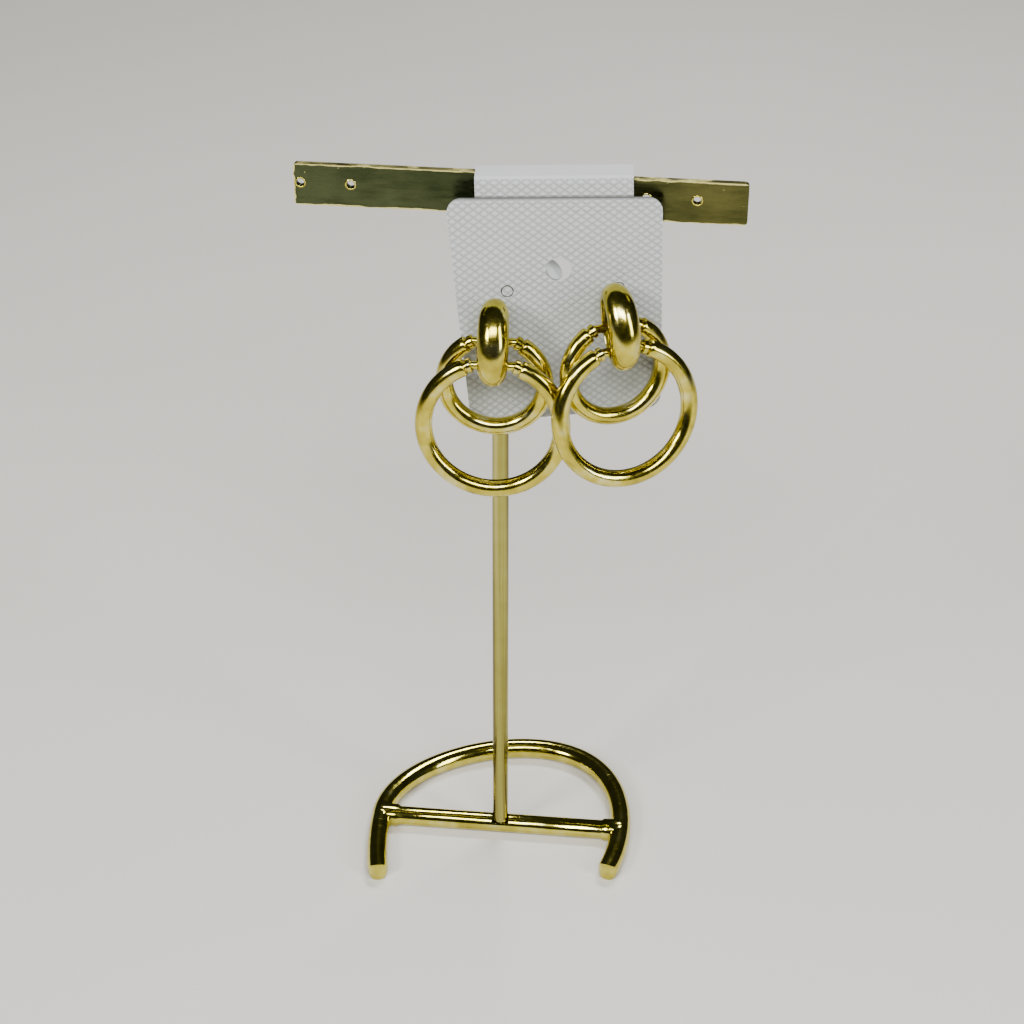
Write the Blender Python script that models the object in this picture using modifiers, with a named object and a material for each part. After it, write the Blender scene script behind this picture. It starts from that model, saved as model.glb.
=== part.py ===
"""A pair of double-ring earrings on a folded card, hung on a T-bar stand.

Metres, +Z up. The stand's front faces -Y and its bar runs along X. The shapes are laid out from
the pole's axis on the floor, and the last step moves the whole to the middle of its own footprint.
"""

import math

import bmesh
import bpy
from mathutils import Matrix, Vector

COLLECTION_NAME = "earring_pair_on_stand"

# General clearances
SEAT_GAP = 0.0003
THROUGH = 0.004

# Stand base: a round rod bent to a horseshoe, with a straight crossbar across it
ROD_DIAMETER = 0.0056
LEG_SPACING = 0.0664
ARC_DEPTH = 0.0332
ARC_SKEW = 0.0066
LEFT_LEG_REACH = 0.0241
RIGHT_LEG_REACH = 0.0175
LEG_TOE_IN = 0.0020
GROUND_FLAT = 0.0003
CROSSBAR_DIAMETER = 0.0052
COLLAR_DIAMETER = 0.0062
COLLAR_LENGTH = 0.0018
NOTCH_DEPTH = 0.0012
SPIGOT_DIAMETER = 0.0020
SPIGOT_LENGTH = 0.0024
ROD_SIDES = 16
NOSE_EASE = 1.03

# Pole and bar
POLE_DIAMETER = 0.0042
POLE_SLOT_DEPTH = 0.0050
BAR_CENTRE_HEIGHT = 0.1945
BAR_LEFT = 0.0487
BAR_RIGHT = 0.0576
BAR_HEIGHT = 0.0105
BAR_THICKNESS = 0.0015
BAR_CORNER = 0.0009
BAR_HOLE_DIAMETER = 0.0019
BAR_HOLE_RISE = 0.0005
BAR_HOLE_OFFSETS = (-0.0471, -0.0352, 0.0340, 0.0458)

# Card: a body, a narrower neck, a shelf over the bar and a short lip behind it
CARD_WIDTH = 0.0500
CARD_BODY_HEIGHT = 0.0566
CARD_THICKNESS = 0.0006
CARD_TAPER = 0.0037
CARD_SHOULDER = 0.0036
CARD_BOTTOM_CORNER = 0.0036
NECK_WIDTH = 0.0366
FOLD_RADIUS = 0.0011
FOLD_CLEARANCE = 0.0010
SHELF_DEPTH = 0.0080
LIP_LENGTH = 0.0022
LIP_CORNER = 0.0020
HANG_HOLE_DIAMETER = 0.0061
HANG_HOLE_DROP = 0.0180
HANG_HOLE_OFFSET = 0.0008
POST_HOLE_DIAMETER = 0.0016
CARD_CENTRE_X = 0.0130
CARD_FRONT_Y = -0.0053
CARD_LEAN = math.radians(3.0)
CREASE_RISE = 0.0018
TOP_YAW = math.radians(3.2)
BOTTOM_YAW = math.radians(10.45)
TOP_ROLL = math.radians(1.84)
BOTTOM_ROLL = math.radians(2.98)
BEND_STEPS = 4
TWIST_STEPS = 8

# Hoop: a puffed channel, open inward, that follows a leaning oval
HOOP_LONG_RADIUS = 0.0104
HOOP_SHORT_RADIUS = 0.0069
HOOP_TILT = math.radians(25.0)
HOOP_SHELL = 0.0009
HOOP_FRONT_WIDTH = 0.0076
HOOP_BACK_WIDTH = 0.0050
HOOP_FRONT_DEPTH = 0.0036
HOOP_BACK_DEPTH = 0.0027
HOOP_CARD_GAP = 0.0006
HOOP_STEPS = 40
HOOP_SECTION_STEPS = 8

# Post and nut
POST_DIAMETER = 0.0009
POST_LENGTH = 0.0046
NUT_DIAMETER = 0.0048
NUT_LENGTH = 0.0030
NUT_CHAMFER = 0.0006
NUT_STEPS = 16

# Rings: a round tube that thins to a straight neck, with a collar at each end of the neck
TUBE_DIAMETER = 0.0042
NECK_DIAMETER = 0.0022
NECK_CLEARANCE = 0.0012
COLLAR_RING_DIAMETER = 0.0035
GROOVE_DIAMETER = 0.0027
COLLAR_RING_LENGTH = 0.0012
GROOVE_LENGTH = 0.0004
RING_STEPS = 40

# One row for each earring: its post's place across and down the card, and how far it turns outward
EARRINGS = (
    {"side": "left", "across": -0.0140, "drop": 0.0288, "splay": math.radians(-5.6)},
    {"side": "right", "across": 0.0117, "drop": 0.0262, "splay": math.radians(19.5)},
)

# Each ring's size, where its neck sits round the hoop's opening from the top, and its gap there
RING_SIZES = {
    "small": {"radius": 0.0120, "seat": math.radians(270.0), "gap": 0.00035},
    "large": {"radius": 0.0165, "seat": math.radians(180.0), "gap": 0.00070},
}

# How far forward each ring hangs at rest
RINGS = (
    {"side": "left", "size": "small", "lean": math.radians(1.0)},
    {"side": "left", "size": "large", "lean": math.radians(5.5)},
    {"side": "right", "size": "small", "lean": math.radians(6.5)},
    {"side": "right", "size": "large", "lean": math.radians(11.0)},
)

ROD_RADIUS = ROD_DIAMETER / 2
ROD_AXIS_HEIGHT = ROD_RADIUS - GROUND_FLAT
HALF_SPACING = LEG_SPACING / 2
CREASE_HEIGHT = BAR_CENTRE_HEIGHT + CREASE_RISE
SHELF_HEIGHT = BAR_HEIGHT / 2 + FOLD_CLEARANCE + CARD_THICKNESS / 2 - CREASE_RISE
NECK_HEIGHT = SHELF_HEIGHT - FOLD_RADIUS
SHELF_FLAT = SHELF_DEPTH - 2 * FOLD_RADIUS
QUARTER_BEND = FOLD_RADIUS * math.pi / 2

GOLD = ("polished_gold", (0.80, 0.66, 0.30, 1.0), 0.12, 1.0)
BAR_GOLD = ("scuffed_gold", (0.62, 0.55, 0.28, 1.0), 0.25, 1.0)
CARD_WHITE = ("white_card", (0.80, 0.81, 0.80, 1.0), 0.55, 0.0)


def remove_everything():
    """Clear the scene that the script starts in."""
    for obj in list(bpy.data.objects):
        bpy.data.objects.remove(obj)


def make_collection(name):
    """Return a new collection under the scene."""
    collection = bpy.data.collections.new(name)
    bpy.context.scene.collection.children.link(collection)
    return collection


def make_material(name, colour, roughness, metallic):
    """Return a Principled material, made once for each name."""
    material = bpy.data.materials.get(name) or bpy.data.materials.new(name)
    material.use_nodes = True
    shader = material.node_tree.nodes["Principled BSDF"]
    shader.inputs["Base Color"].default_value = colour
    shader.inputs["Roughness"].default_value = roughness
    shader.inputs["Metallic"].default_value = metallic
    return material


def add_object(name, data, collection, material=None):
    """Put data into a new object, with a material of its own if one is given."""
    obj = bpy.data.objects.new(name, data)
    collection.objects.link(obj)
    if material:
        name_of_material, colour, roughness, metallic = material
        data.materials.append(make_material(f"{name}_{name_of_material}", colour, roughness, metallic))
    return obj


def mesh_from_curve(obj):
    """Replace a curve object by its welded mesh, keeping its name, place and material."""
    bpy.context.view_layer.update()
    evaluated = obj.evaluated_get(bpy.context.evaluated_depsgraph_get())
    mesh = bpy.data.meshes.new_from_object(evaluated)
    work = bmesh.new()
    work.from_mesh(mesh)
    bmesh.ops.remove_doubles(work, verts=work.verts, dist=1e-6)
    bmesh.ops.recalc_face_normals(work, faces=work.faces)
    work.to_mesh(mesh)
    work.free()
    name = obj.name
    collection = obj.users_collection[0]
    place = obj.matrix_world.copy()
    bpy.data.objects.remove(obj)
    solid = bpy.data.objects.new(name, mesh)
    solid.matrix_world = place
    collection.objects.link(solid)
    return solid


def rod_curve(name, points, radii, collection, cyclic=False, resolution=3, material=None):
    """A round rod along points, with its own radius at each of them."""
    curve = bpy.data.curves.new(name, "CURVE")
    curve.dimensions = "3D"
    curve.bevel_depth = 1.0
    curve.bevel_resolution = resolution
    curve.use_fill_caps = not cyclic
    curve.twist_mode = "MINIMUM"
    spline = curve.splines.new("POLY")
    spline.points.add(len(points) - 1)
    for spot, place, radius in zip(spline.points, points, radii):
        spot.co = (*place, 1.0)
        spot.radius = radius
    spline.use_cyclic_u = cyclic
    return add_object(name, curve, collection, material)


def flat_solid(name, outlines, thickness, collection, material=None):
    """A plate from closed outlines in its local XY plane, the inner ones cut out."""
    curve = bpy.data.curves.new(name, "CURVE")
    curve.dimensions = "2D"
    curve.fill_mode = "BOTH"
    curve.extrude = thickness / 2
    for outline in outlines:
        spline = curve.splines.new("POLY")
        spline.points.add(len(outline) - 1)
        for spot, (x, y) in zip(spline.points, outline):
            spot.co = (x, y, 0.0, 1.0)
        spline.use_cyclic_u = True
    return mesh_from_curve(add_object(name, curve, collection, material))


def turned_solid(name, profile, steps, collection, material=None, closed=False):
    """A turned shape about local Z, from (radius, height) points that run down its outer side."""
    mesh = bpy.data.meshes.new(name)
    vertices = [(radius, 0.0, height) for radius, height in profile]
    edges = [(i, i + 1) for i in range(len(profile) - 1)]
    if closed:
        edges.append((len(profile) - 1, 0))
    mesh.from_pydata(vertices, edges, [])
    obj = add_object(name, mesh, collection, material)
    screw = obj.modifiers.new("Turn", "SCREW")
    screw.steps = steps
    screw.render_steps = steps
    screw.use_merge_vertices = True
    screw.merge_threshold = 1e-6
    screw.use_normal_calculate = True
    return obj


def add_boolean(obj, other, operation):
    """Join or cut obj by other, which is left as a hidden guide."""
    modifier = obj.modifiers.new(f"{operation.title()} {other.name}", "BOOLEAN")
    modifier.operation = operation
    modifier.solver = "EXACT"
    modifier.object = other
    other.hide_render = True
    other.display_type = "WIRE"


def box_cutter(name, low, high, cutters):
    """A box between two corners."""
    mesh = bpy.data.meshes.new(name)
    work = bmesh.new()
    bmesh.ops.create_cube(work, size=1.0)
    size = Vector(high) - Vector(low)
    bmesh.ops.scale(work, vec=size, verts=work.verts)
    bmesh.ops.translate(work, vec=(Vector(high) + Vector(low)) / 2, verts=work.verts)
    work.to_mesh(mesh)
    work.free()
    return add_object(name, mesh, cutters)


def round_solid(name, radius, start, end, collection, sides=ROD_SIDES, material=None):
    """A round bar from one point to another."""
    mesh = bpy.data.meshes.new(name)
    start = Vector(start)
    span = Vector(end) - start
    work = bmesh.new()
    bmesh.ops.create_cone(
        work, cap_ends=True, segments=sides, radius1=radius, radius2=radius, depth=span.length
    )
    turn = Vector((0, 0, 1)).rotation_difference(span).to_matrix().to_4x4()
    bmesh.ops.transform(work, matrix=Matrix.Translation(start + span / 2) @ turn, verts=work.verts)
    work.to_mesh(mesh)
    work.free()
    return add_object(name, mesh, collection, material)


def arc_points(centre, radius, start, end, steps):
    """Points on a circle from one angle to another, in degrees, both ends included."""
    angles = [math.radians(start + (end - start) * i / steps) for i in range(steps + 1)]
    return [(centre[0] + radius * math.cos(a), centre[1] + radius * math.sin(a)) for a in angles]


def circle_outline(centre, diameter, steps=16):
    """A full circle as a closed outline."""
    return arc_points(centre, diameter / 2, 0, 360 * (steps - 1) / steps, steps - 1)


def smooth_shade(obj, angle=35.0):
    """Shade smooth, with sharp edges kept where faces meet at more than the angle."""
    obj.data.shade_smooth()
    obj.data.set_sharp_from_angle(angle=math.radians(angle))


def leg_points(side, reach, steps=6):
    """A leg's axis from the crossbar forward to the centre of its rounded nose, and a bit on."""
    run = reach - ROD_RADIUS
    points = []
    for i in range(1, steps + 1):
        share = i / steps
        x = side * (HALF_SPACING - LEG_TOE_IN * share**2)
        points.append(Vector((x, -run * share, ROD_AXIS_HEIGHT)))
    heading = (points[-1] - points[-2]).normalized()
    nose_centre = points[-1].copy()
    points.append(nose_centre + heading * ROD_RADIUS * 1.2)
    return points, nose_centre, heading


def nose_cutter(name, centre, heading, cutters):
    """A block with a half-round bite, which leaves the rod's end round when seen from above."""
    nose = ROD_RADIUS * NOSE_EASE
    wide = ROD_RADIUS * 2
    outline = arc_points((0, 0), nose, 180, 0, 12) + [(wide, 0), (wide, wide), (-wide, wide), (-wide, 0)]
    cutter = flat_solid(name, [outline], wide * 2, cutters)
    turn = math.atan2(-heading.x, heading.y)
    cutter.matrix_world = Matrix.Translation(centre) @ Matrix.Rotation(turn, 4, "Z")
    return cutter


def build_base(parts, cutters):
    """The horseshoe rod with its crossbar, ground flat underneath and notched for the pole."""
    left, left_nose, left_heading = leg_points(-1, LEFT_LEG_REACH)
    right, right_nose, right_heading = leg_points(1, RIGHT_LEG_REACH)
    arc_steps = 28
    arc = []
    for i in range(arc_steps + 1):
        angle = math.pi * (1 - i / arc_steps)
        x = HALF_SPACING * math.cos(angle) + ARC_SKEW * math.sin(angle) ** 2
        arc.append(Vector((x, ARC_DEPTH * math.sin(angle), ROD_AXIS_HEIGHT)))
    path = list(reversed(left)) + arc + right
    curve = rod_curve("stand_base", path, [ROD_RADIUS] * len(path), parts, resolution=6, material=GOLD)
    base = mesh_from_curve(curve)
    level = ROD_AXIS_HEIGHT
    crossbar = round_solid(
        "crossbar", CROSSBAR_DIAMETER / 2, (-HALF_SPACING, 0, level), (HALF_SPACING, 0, level), cutters
    )
    add_boolean(base, crossbar, "UNION")
    for side in (-1, 1):
        outer = side * HALF_SPACING
        inner = side * (HALF_SPACING - ROD_RADIUS - COLLAR_LENGTH)
        collar = round_solid(
            f"weld_collar_{side}",
            COLLAR_DIAMETER / 2,
            (outer, 0, level),
            (inner, 0, level),
            cutters,
            sides=20,
        )
        add_boolean(base, collar, "UNION")
    for name, nose, heading in (("left", left_nose, left_heading), ("right", right_nose, right_heading)):
        add_boolean(base, nose_cutter(f"{name}_nose_cutter", nose, heading, cutters), "DIFFERENCE")
    reach = LEG_SPACING + ARC_DEPTH
    ground = box_cutter("ground_cutter", (-reach, -reach, -ROD_DIAMETER), (reach, reach, 0.0), cutters)
    add_boolean(base, ground, "DIFFERENCE")
    notch_half = POLE_DIAMETER / 2 + SEAT_GAP
    notch_floor = level + CROSSBAR_DIAMETER / 2 - NOTCH_DEPTH
    notch = box_cutter(
        "pole_notch_cutter",
        (-notch_half, -CROSSBAR_DIAMETER, notch_floor),
        (notch_half, CROSSBAR_DIAMETER, level + CROSSBAR_DIAMETER),
        cutters,
    )
    add_boolean(base, notch, "DIFFERENCE")
    socket = round_solid(
        "pole_socket_cutter",
        SPIGOT_DIAMETER / 2 + SEAT_GAP,
        (0, 0, notch_floor - SPIGOT_LENGTH - SEAT_GAP),
        (0, 0, notch_floor + NOTCH_DEPTH * 2),
        cutters,
    )
    add_boolean(base, socket, "DIFFERENCE")
    smooth_shade(base)


def build_pole(parts, cutters):
    """The upright, with a spigot that goes into the crossbar and a slot that takes the bar."""
    foot = ROD_AXIS_HEIGHT + CROSSBAR_DIAMETER / 2 - NOTCH_DEPTH + SEAT_GAP
    top = BAR_CENTRE_HEIGHT - BAR_HEIGHT / 2 + POLE_SLOT_DEPTH
    radius = POLE_DIAMETER / 2
    spigot = SPIGOT_DIAMETER / 2
    tip = foot - SPIGOT_LENGTH
    profile = [(0, top), (radius, top), (radius, foot), (spigot, foot), (spigot, tip), (0, tip)]
    pole = turned_solid("stand_pole", profile, ROD_SIDES, parts, GOLD)
    slot_half = BAR_THICKNESS / 2 + SEAT_GAP
    slot_floor = BAR_CENTRE_HEIGHT - BAR_HEIGHT / 2 - SEAT_GAP
    slot = box_cutter(
        "bar_slot_cutter", (-THROUGH, -slot_half, slot_floor), (THROUGH, slot_half, top + THROUGH), cutters
    )
    add_boolean(pole, slot, "DIFFERENCE")
    smooth_shade(pole)


def build_bar(parts):
    """The flat T-bar with rounded corners and four holes."""
    low = -BAR_HEIGHT / 2 + BAR_CORNER
    high = BAR_HEIGHT / 2 - BAR_CORNER
    left = -BAR_LEFT + BAR_CORNER
    right = BAR_RIGHT - BAR_CORNER
    outline = []
    for x, y, start in ((right, high, 0), (left, high, 90), (left, low, 180), (right, low, 270)):
        outline += arc_points((x, y), BAR_CORNER, start, start + 90, 4)
    holes = [circle_outline((x, BAR_HOLE_RISE), BAR_HOLE_DIAMETER) for x in BAR_HOLE_OFFSETS]
    bar = flat_solid("stand_bar", [outline] + holes, BAR_THICKNESS, parts, BAR_GOLD)
    bar.matrix_world = Matrix.Translation((0, 0, BAR_CENTRE_HEIGHT)) @ Matrix.Rotation(math.pi / 2, 4, "X")
    smooth_shade(bar)


def card_frame(drop, lean=CARD_LEAN):
    """Place and axes of the card at a distance below its crease: X across, Y up, Z to the front."""
    share = min(max(drop / CARD_BODY_HEIGHT, 0.0), 1.0)
    yaw = TOP_YAW + (BOTTOM_YAW - TOP_YAW) * share
    roll = TOP_ROLL + (BOTTOM_ROLL - TOP_ROLL) * share
    across = Vector((math.cos(yaw) * math.cos(roll), math.sin(yaw) * math.cos(roll), math.sin(roll)))
    down = Vector((math.sin(TOP_ROLL), -math.sin(lean), -math.cos(lean)))
    place = Vector((CARD_CENTRE_X, CARD_FRONT_Y, CREASE_HEIGHT)) + down * max(drop, 0.0)
    front = across.cross(-down).normalized()
    up = front.cross(across)
    frame = Matrix((across, up, front)).transposed().to_4x4()
    frame.translation = place
    return frame


def fold_point(climb):
    """Height, setback and turn of the neck, the shelf and the lip at a distance up from the crease."""
    if climb <= NECK_HEIGHT:
        return climb, 0.0, 0.0
    climb -= NECK_HEIGHT
    if climb <= QUARTER_BEND:
        bend = climb / FOLD_RADIUS
        return NECK_HEIGHT + FOLD_RADIUS * math.sin(bend), FOLD_RADIUS * (1 - math.cos(bend)), bend
    climb -= QUARTER_BEND
    if climb <= SHELF_FLAT:
        return SHELF_HEIGHT, FOLD_RADIUS + climb, math.pi / 2
    climb -= SHELF_FLAT
    if climb <= QUARTER_BEND:
        bend = math.pi / 2 + climb / FOLD_RADIUS
        setback = SHELF_DEPTH - FOLD_RADIUS * (1 + math.cos(bend))
        return NECK_HEIGHT + FOLD_RADIUS * math.sin(bend), setback, bend
    return NECK_HEIGHT - (climb - QUARTER_BEND), SHELF_DEPTH, math.pi


def place_on_card(across, up, lift):
    """Map a point of the flat card to the folded and twisted one."""
    if up <= 0:
        frame = card_frame(-up)
        return frame @ Vector((across, 0.0, lift))
    height, setback, bend = fold_point(up)
    local = Vector((across, height + lift * math.sin(bend), -setback + lift * math.cos(bend)))
    return card_frame(0.0, lean=0.0) @ local


def card_outline():
    """The flat card: shoulders, neck and lip above the crease, and a left edge that runs in."""
    half = CARD_WIDTH / 2
    neck = NECK_WIDTH / 2
    top = NECK_HEIGHT + 2 * QUARTER_BEND + SHELF_FLAT + LIP_LENGTH
    shoulder = CARD_SHOULDER
    corner = CARD_BOTTOM_CORNER
    bottom = -CARD_BODY_HEIGHT
    low_left = -half + CARD_TAPER
    outline = arc_points((neck - LIP_CORNER, top - LIP_CORNER), LIP_CORNER, 0, 90, 4)
    outline += arc_points((-neck + LIP_CORNER, top - LIP_CORNER), LIP_CORNER, 90, 180, 4)
    outline.append((-neck, 0.0))
    outline += arc_points((-half + shoulder, -shoulder), shoulder, 90, 180, 6)
    outline += arc_points((low_left + corner, bottom + corner), corner, 180, 270, 6)
    outline += arc_points((half - corner, bottom + corner), corner, 270, 360, 6)
    outline += arc_points((half - shoulder, -shoulder), shoulder, 0, 90, 6)
    outline.append((neck, 0.0))
    return outline


def post_place(row):
    """Where an earring's post crosses the flat card."""
    return row["across"], -row["drop"]


def build_card(parts):
    """The card, cut flat with its holes and then folded over the bar and slightly twisted."""
    holes = [circle_outline((HANG_HOLE_OFFSET, -HANG_HOLE_DROP), HANG_HOLE_DIAMETER, 24)]
    holes += [circle_outline(post_place(row), POST_HOLE_DIAMETER, 12) for row in EARRINGS]
    card = flat_solid("earring_card", [card_outline()] + holes, CARD_THICKNESS, parts, CARD_WHITE)
    second_bend = NECK_HEIGHT + QUARTER_BEND + SHELF_FLAT
    bend_lines = []
    for start in (NECK_HEIGHT, second_bend):
        bend_lines += [start + QUARTER_BEND * i / BEND_STEPS for i in range(BEND_STEPS + 1)]
    twist_lines = [-CARD_BODY_HEIGHT * i / TWIST_STEPS for i in range(TWIST_STEPS)]
    work = bmesh.new()
    work.from_mesh(card.data)
    for line in bend_lines + twist_lines:
        geometry = list(work.verts) + list(work.edges) + list(work.faces)
        bmesh.ops.bisect_plane(work, geom=geometry, dist=1e-7, plane_co=(0, line, 0), plane_no=(0, 1, 0))
    bmesh.ops.triangulate(work, faces=work.faces)
    for vertex in work.verts:
        vertex.co = place_on_card(*vertex.co)
    work.to_mesh(card.data)
    work.free()
    smooth_shade(card, 40.0)


def hoop_centre():
    """The oval's centre from the post, as forward and upward distances; its back just clears the card."""
    back = math.hypot(HOOP_LONG_RADIUS * math.sin(HOOP_TILT), HOOP_SHORT_RADIUS * math.cos(HOOP_TILT))
    squares = HOOP_LONG_RADIUS**2 - HOOP_SHORT_RADIUS**2
    rise = squares * math.sin(HOOP_TILT) * math.cos(HOOP_TILT) / back
    return back + HOOP_CARD_GAP + CARD_THICKNESS / 2, -rise


def hoop_point(along, across):
    """Forward and upward distances from the post of a point in the oval's own axes."""
    forward, up = hoop_centre()
    forward += -along * math.sin(HOOP_TILT) + across * math.cos(HOOP_TILT)
    up += along * math.cos(HOOP_TILT) + across * math.sin(HOOP_TILT)
    return forward, up


def hoop_section(angle):
    """Outer point, outward direction, width and depth of the channel at an angle round the oval."""
    outer = Vector((HOOP_LONG_RADIUS * math.cos(angle), HOOP_SHORT_RADIUS * math.sin(angle)))
    outward = Vector((math.cos(angle) / HOOP_LONG_RADIUS, math.sin(angle) / HOOP_SHORT_RADIUS))
    frontness = (1 + math.sin(angle)) / 2
    width = HOOP_BACK_WIDTH + (HOOP_FRONT_WIDTH - HOOP_BACK_WIDTH) * frontness
    depth = HOOP_BACK_DEPTH + (HOOP_FRONT_DEPTH - HOOP_BACK_DEPTH) * frontness
    return outer, outward.normalized(), width, depth


def hoop_surface(name):
    """The channel's outer skin: a half-oval section swept round the leaning oval."""
    work = bmesh.new()
    grid = []
    for i in range(HOOP_STEPS):
        outer, outward, width, depth = hoop_section(2 * math.pi * i / HOOP_STEPS)
        section = []
        for j in range(HOOP_SECTION_STEPS + 1):
            sweep = math.pi * j / HOOP_SECTION_STEPS
            forward, up = hoop_point(*(outer - outward * depth * (1 - math.sin(sweep))))
            section.append(work.verts.new((width / 2 * math.cos(sweep), -forward, up)))
        grid.append(section)
    for i, here in enumerate(grid):
        after = grid[(i + 1) % HOOP_STEPS]
        for j in range(HOOP_SECTION_STEPS):
            work.faces.new((here[j], here[j + 1], after[j + 1], after[j]))
    mesh = bpy.data.meshes.new(name)
    work.to_mesh(mesh)
    work.free()
    return mesh


def build_hoop(row, earring, post_turn, parts, cutters):
    """The puffed channel loop with its soldered post."""
    name = f"{row['side']}_hoop"
    hoop = add_object(name, hoop_surface(name), parts, GOLD)
    hoop.parent = earring
    shell = hoop.modifiers.new("Shell", "SOLIDIFY")
    shell.thickness = HOOP_SHELL
    shell.offset = -1.0
    shell.use_even_offset = True
    rooted = CARD_THICKNESS / 2 + HOOP_CARD_GAP + HOOP_SHELL / 2
    direction = post_turn @ Vector((0, 1, 0))
    post = round_solid(
        f"{name}_post", POST_DIAMETER / 2, direction * -rooted, direction * POST_LENGTH, cutters, sides=10
    )
    post.parent = earring
    add_boolean(hoop, post, "UNION")
    smooth_shade(hoop)


def build_nut(row, earring, post_turn, parts):
    """A plain nut behind the card, with a bore that clears the post."""
    bore = POST_DIAMETER / 2 + SEAT_GAP
    outer = NUT_DIAMETER / 2
    start = CARD_THICKNESS / 2 + SEAT_GAP
    end = start + NUT_LENGTH
    profile = [
        (bore, end),
        (outer - NUT_CHAMFER, end),
        (outer, end - NUT_CHAMFER),
        (outer, start + NUT_CHAMFER),
        (outer - NUT_CHAMFER, start),
        (bore, start),
    ]
    nut = turned_solid(f"{row['side']}_ear_nut", profile, NUT_STEPS, parts, GOLD, closed=True)
    nut.parent = earring
    nut.matrix_local = post_turn.to_4x4() @ Matrix.Rotation(-math.pi / 2, 4, "X")
    smooth_shade(nut)


def ring_path(radius):
    """Points and radii of a ring whose neck lies along local X through the origin."""
    neck_half = HOOP_FRONT_WIDTH / 2 + NECK_CLEARANCE
    start = math.asin(neck_half / radius)
    drop = radius * math.cos(start)
    neck = NECK_DIAMETER / 2
    collar = COLLAR_RING_DIAMETER / 2
    groove = GROOVE_DIAMETER / 2
    tube = TUBE_DIAMETER / 2
    step = 0.0001
    collar_end = COLLAR_RING_LENGTH
    groove_end = collar_end + GROOVE_LENGTH
    profile = [
        (0.0, neck),
        (step, collar),
        (collar_end, collar),
        (collar_end + step, groove),
        (groove_end, groove),
        (groove_end + step, tube * 0.9),
        (groove_end + 0.0005, tube),
    ]
    half_turn = math.pi - start
    tube_start = (groove_end + 0.0005) / radius
    body = [tube_start + (half_turn - tube_start) * i * 2 / RING_STEPS for i in range(1, RING_STEPS // 2)]
    right = [(start + run / radius, size) for run, size in profile]
    right += [(start + angle, tube) for angle in body]
    left = [(2 * math.pi - angle, size) for angle, size in reversed(right)]
    whole = right + [(math.pi, tube)] + left
    points = [Vector((radius * math.sin(a), 0.0, radius * math.cos(a) - drop)) for a, _ in whole]
    return points, [size for _, size in whole]


def build_ring(row, earring, parts):
    """One ring, with its origin on the axis that its neck turns about."""
    name = f"{row['side']}_{row['size']}_ring"
    size = RING_SIZES[row["size"]]
    points, radii = ring_path(size["radius"])
    ring = mesh_from_curve(rod_curve(name, points, radii, parts, cyclic=True, material=GOLD))
    outer, outward, _, depth = hoop_section(size["seat"])
    forward, up = hoop_point(*(outer - outward * (depth + size["gap"] + NECK_DIAMETER / 2)))
    ring.parent = earring
    ring.matrix_local = Matrix.Translation((0.0, -forward, up)) @ Matrix.Rotation(-row["lean"], 4, "X")
    smooth_shade(ring)


def build_earring(row, parts, cutters):
    """One earring on its own empty, which stands where the post crosses the card and faces outward."""
    across, up = post_place(row)
    card_axes = card_frame(-up).to_3x3() @ Matrix.Rotation(-math.pi / 2, 3, "X")
    earring = bpy.data.objects.new(f"{row['side']}_earring", None)
    parts.objects.link(earring)
    facing = Matrix.Rotation(math.atan2(card_axes.col[0].y, card_axes.col[0].x) + row["splay"], 3, "Z")
    earring.matrix_world = Matrix.Translation(place_on_card(across, up, 0.0)) @ facing.to_4x4()
    post_turn = facing.transposed() @ card_axes
    build_hoop(row, earring, post_turn, parts, cutters)
    build_nut(row, earring, post_turn, parts)
    for ring in RINGS:
        if ring["side"] == row["side"]:
            build_ring(ring, earring, parts)
    return earring


def centre_on_footprint(parts, helpers):
    """Parent everything to one empty and move it so the middle of the footprint is the origin."""
    origin = bpy.data.objects.new("origin", None)
    parts.objects.link(origin)
    for obj in list(parts.objects) + list(helpers.objects):
        if obj.parent is None and obj is not origin:
            obj.parent = origin
    bpy.context.view_layer.update()
    depsgraph = bpy.context.evaluated_depsgraph_get()
    corners = []
    for obj in parts.objects:
        if obj.type == "MESH":
            solid = obj.evaluated_get(depsgraph)
            corners += [obj.matrix_world @ vertex.co for vertex in solid.data.vertices]
    low = Vector([min(corner[i] for corner in corners) for i in range(3)])
    high = Vector([max(corner[i] for corner in corners) for i in range(3)])
    middle = (low + high) / 2
    origin.location = (-middle.x, -middle.y, -low.z)


def build():
    """Model the whole object."""
    remove_everything()
    parts = make_collection(COLLECTION_NAME)
    cutters = make_collection("cutters")
    build_base(parts, cutters)
    build_pole(parts, cutters)
    build_bar(parts)
    build_card(parts)
    for row in EARRINGS:
        build_earring(row, parts, cutters)
    centre_on_footprint(parts, cutters)


build()
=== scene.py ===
"""Looks for the pair of earrings on a card, on its T-bar stand. Metres, +Z up."""

import math

import bmesh
import bpy
from mathutils import Matrix, Vector


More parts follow.
